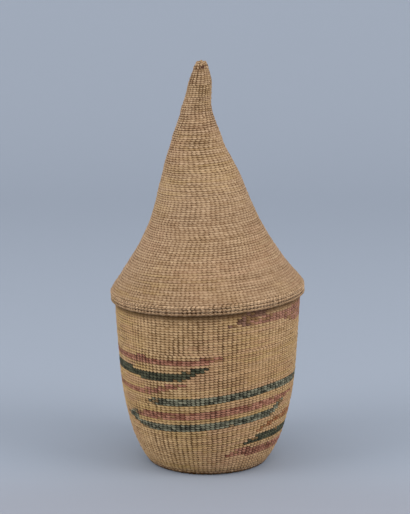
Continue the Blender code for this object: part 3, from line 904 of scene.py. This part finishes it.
class BASKET_OT_lid_rim(bpy.types.Operator):
    """Wrap the coils of the lid's rolled rim, with the lashing between the lower two, painted dark as shade
    """

    bl_idname = "basket.lid_rim"
    bl_label = "Lid rim"

    def execute(self, context):
        for seed, (name, node, height, half, courses) in enumerate(RIM_ROPES):
            piece = rope(name, RIM_MIDDLE, height, RIM_HALF_WIDTH, half, courses, RIM_STITCHES,
                         seed=64 + seed, slant=1.0, deep=500.0 * half)
            finish_piece(piece, "rim", "lid", node)
        piece = rope("rim_lashing", RIM_MIDDLE, LASHING_HEIGHT, LASHING_HALF_WIDTH, LASHING_HALF_HEIGHT,
                     courses=4, stitches=RIM_STITCHES, seed=68, slant=0.7, deep=2.4)
        finish_piece(piece, "lashing", "lid", "lid_rim_lower_coil")
        return {"FINISHED"}


def lid_zone(name, zone, bottom, top, courses, seed, crown=None):
    """One stretch of the lid whose courses all have the same number of stitches."""
    first, end, stitches = zone
    place = lid_place(bottom, top, courses, seed)
    back = stitch_rows(first, end, INSIDE_ALONG, INSIDE_CREST)
    faces = [(place, stitch_rows(first, end))]
    if crown:
        faces += [pole(top, end), pole(crown, end)]
        back = back[:, bottom + (top - bottom) * back[0] / courses < crown]
    faces.append((inside_of(place), back[:, ::-1]))
    steps = np.random.default_rng(seed).normal(0.0, LID_DRIFT, courses + 2).cumsum()

    def shift(at):
        course = np.floor(at + 0.001).astype(int)
        on_line = at - course < 0.01
        return np.where(on_line & (course > 0), (steps[course] + steps[course - 1]) / 2.0, steps[course])

    return shell(name, stitches, faces, seed, (first, end), shift, deep=0.75)


class BASKET_OT_cone(bpy.types.Operator):
    """Sew the flared lower half of the lid"""

    bl_idname = "basket.cone"
    bl_label = "Cone"

    def execute(self, context):
        for number, zone in enumerate(CONE_ZONES):
            piece = lid_zone(f"cone_courses_{number + 1}", zone, *CONE, 70)
            finish_piece(piece, "lid", "lid", "lid_cone")
        return {"FINISHED"}


class BASKET_OT_spire(bpy.types.Operator):
    """Sew the slender upper half of the lid"""

    bl_idname = "basket.spire"
    bl_label = "Spire"

    def execute(self, context):
        for number, zone in enumerate(SPIRE_ZONES):
            crown = HOLLOW_TOP if zone is SPIRE_ZONES[-1] else None
            piece = lid_zone(f"spire_courses_{number + 1}", zone, *SPIRE, 80, crown)
            finish_piece(piece, SPIRE_FINISHES[number], "lid", "lid_spire")
        return {"FINISHED"}


class BASKET_OT_point(bpy.types.Operator):
    """Wind the coarse coils of the point"""

    bl_idname = "basket.point"
    bl_label = "Point"

    def execute(self, context):
        bottom, top, courses = POINT
        step = (top - bottom) / courses
        place = lid_place(*POINT, 90)
        for number, (first, end, stitches) in enumerate(POINT_ZONES):
            rows = stitch_rows(first, end)
            rows[1, -1] = 0.5
            faces = [(place, rows)] + [pole(bottom + step * at, at) for at in (end, first)]
            piece = shell(f"point_courses_{number + 1}", stitches, faces, 91 + number, (first, end), deep=0.8)
            finish_piece(piece, "coarse" if number else "spire", "lid", "lid_tip")
        return {"FINISHED"}


def knot_radius(height):
    """The outside of the knot, a blunter dome than the frame's."""
    climb = np.clip((height - KNOT_BOTTOM) / (KNOT_CROWN - KNOT_BOTTOM), 0.0, 1.0)
    return (lid_radius(KNOT_BOTTOM) - 0.0001) * (1.0 - climb ** 2.3) ** 0.55


def knot_place(course, angle):
    """The knot's outside, from its foot to its crown in courses of even length."""
    turn = np.clip(course / KNOT_COURSES, 0.0, 1.0)
    height = KNOT_BOTTOM + (KNOT_CROWN - KNOT_BOTTOM) * np.sin(turn * math.pi / 2.0) ** 0.9
    out = np.cos(turn * math.pi / 2.0)
    return knot_radius(height), height, np.maximum(out, 0.01), np.sqrt(1.0 - out * out)


class BASKET_OT_knot(bpy.types.Operator):
    """Loop the knot at the very top"""

    bl_idname = "basket.knot"
    bl_label = "Top knot"

    def execute(self, context):
        rows = stitch_rows(0, KNOT_COURSES)
        rows[1, 0] = 0.8
        faces = [(knot_place, rows), pole(KNOT_CROWN, KNOT_COURSES), pole(KNOT_BOTTOM)]
        core = shell("knot_core", KNOT_STITCHES, faces, 96, (0, KNOT_COURSES))
        finish_piece(core, "knot", "lid", "lid_top_knot")
        heights = np.linspace(KNOT_BOTTOM, KNOT_CROWN, 60)
        radii = knot_radius(heights)
        sink = KNOT_TOP - KNOT_STRAND - KNOT_CROWN
        for number, (beside, turn, reach) in enumerate(KNOT_LOOPS):
            along = -reach * np.cos(np.linspace(0.0, math.pi, 25))
            end = np.clip(np.abs(along) / reach, 0.0, 1.0) ** 6
            z = np.interp(-np.hypot(beside, along), -radii, heights) + sink - 0.6 * KNOT_STRAND * end
            side, ahead = math.radians(turn), math.radians(turn + 90)
            x = beside * math.cos(side) + along * math.cos(ahead)
            y = beside * math.sin(side) + along * math.sin(ahead)
            piece = arch(f"knot_loop_{number + 1}", hand_built(x, y, z), KNOT_STRAND)
            finish_piece(piece, "knot", "lid", "lid_top_knot")
        tie = np.radians(np.linspace(TIE_START, TIE_END, 9))
        height = KNOT_BOTTOM + TIE_HEIGHT + 0.0008 * tie
        out = knot_radius(height) - TIE_DEPTH
        piece = arch("knot_tie", hand_built(out * np.sin(tie), -out * np.cos(tie), height), TIE_STRAND)
        finish_piece(piece, "dyed red", "lid", "lid_top_knot")
        return {"FINISHED"}


class BASKET_OT_stage(bpy.types.Operator):
    """Set the pale floor, the lamps and the camera"""

    bl_idname = "basket.stage"
    bl_label = "Stage"

    def execute(self, context):
        stage = context.scene.stage_settings
        material, tree, shader = node_material("seamless paper, matt")
        # The floor in front of the basket is painted a little darker, as shade
        y = add(tree, "SeparateXYZ", {"Vector": add(tree, "TexCoord").outputs["Object"]}).outputs["Y"]
        colour = colour_mix(tree, smooth_ramp(tree, y, -0.10, 0.0, 1.0, 0.0), stage.floor, stage.floor_front_shade)
        tree.links.new(colour, shader.inputs["Base Color"])
        shader.inputs["Roughness"].default_value = 0.9
        shader.inputs["Specular IOR Level"].default_value = 0.2
        bm = grid(2, 48)
        for vertex in bm.verts:
            along = (vertex.co.y + 1.0) / 2.0 * PAPER_LENGTH + PAPER_START
            turn = min(1.0, max(0.0, (along - BEND_START) / BEND_LENGTH)) * math.pi / 2.0
            flat = min(along, BEND_START) + BEND_RADIUS * math.sin(turn)
            rise = BEND_RADIUS * (1.0 - math.cos(turn)) + max(0.0, along - BEND_START - BEND_LENGTH)
            vertex.co = (vertex.co.x * PAPER_HALF_WIDTH, flat, rise)
        mesh = bpy.data.meshes.new("paper_sweep")
        bm.to_mesh(mesh)
        bm.free()
        mesh.shade_smooth()
        mesh.materials.append(material)
        linked("paper_sweep", mesh)

        world = bpy.data.worlds.new("studio")
        world.use_nodes = True
        background = world.node_tree.nodes["Background"]
        background.inputs["Color"].default_value = linear(ROOM_COLOUR)
        background.inputs["Strength"].default_value = stage.world
        context.scene.world = world

        for name, x, share in LAMPS:
            data = bpy.data.lights.new(name, "AREA")
            data.shape = "DISK"
            data.size = LAMP_SIZE
            data.energy = stage.lamp_power * share
            lamp = linked(name, data)
            lamp.location = (x, LAMP_Y, LAMP_HEIGHT)
            lamp.rotation_euler = (LAMP_AIM - lamp.location).to_track_quat("-Z", "Y").to_euler()

        camera = bpy.data.cameras.new("camera")
        camera.lens = CAMERA_LENS
        camera.sensor_width = CAMERA_SENSOR
        eye = linked("camera", camera)
        eye.location = CAMERA_PLACE
        eye.rotation_euler = (math.radians(CAMERA_TILT), 0.0, 0.0)
        context.scene.camera = eye
        context.scene.view_settings.view_transform = "Standard"
        return {"FINISHED"}


class BASKET_PT_panel(bpy.types.Panel):
    """Lists the pieces and their settings"""

    bl_label = "Coiled basket"
    bl_idname = "BASKET_PT_panel"
    bl_space_type = "VIEW_3D"
    bl_region_type = "UI"
    bl_category = "Basket"

    def draw(self, context):
        for group in (context.scene.basket_sizes, context.scene.basket_colours, context.scene.stage_settings):
            column = self.layout.column()
            for key in group.bl_rna.properties.keys():
                if key not in ("rna_type", "name"):
                    column.prop(group, key)
        for operator in OPERATORS:
            self.layout.operator(operator.bl_idname)


OPERATORS = (
    BASKET_OT_base, BASKET_OT_wall, BASKET_OT_bands, BASKET_OT_mouth, BASKET_OT_lid_rim, BASKET_OT_cone,
    BASKET_OT_spire, BASKET_OT_point, BASKET_OT_knot, BASKET_OT_stage,
)
CLASSES = (BasketSizes, BasketColours, StageSettings, BASKET_PT_panel) + OPERATORS


def register():
    for cls in CLASSES:
        bpy.utils.register_class(cls)
    bpy.types.Scene.basket_sizes = bpy.props.PointerProperty(type=BasketSizes)
    bpy.types.Scene.basket_colours = bpy.props.PointerProperty(type=BasketColours)
    bpy.types.Scene.stage_settings = bpy.props.PointerProperty(type=StageSettings)


def unregister():
    del bpy.types.Scene.basket_sizes, bpy.types.Scene.basket_colours, bpy.types.Scene.stage_settings
    for cls in reversed(CLASSES):
        bpy.utils.unregister_class(cls)


def main():
    register()
    for old in list(bpy.context.scene.objects):
        if old.type in {"LIGHT", "CAMERA"}:
            bpy.data.objects.remove(old, do_unlink=True)
    for operator in OPERATORS:
        getattr(bpy.ops.basket, operator.bl_idname.split(".")[1])()


if __name__ == "__main__":
    main()
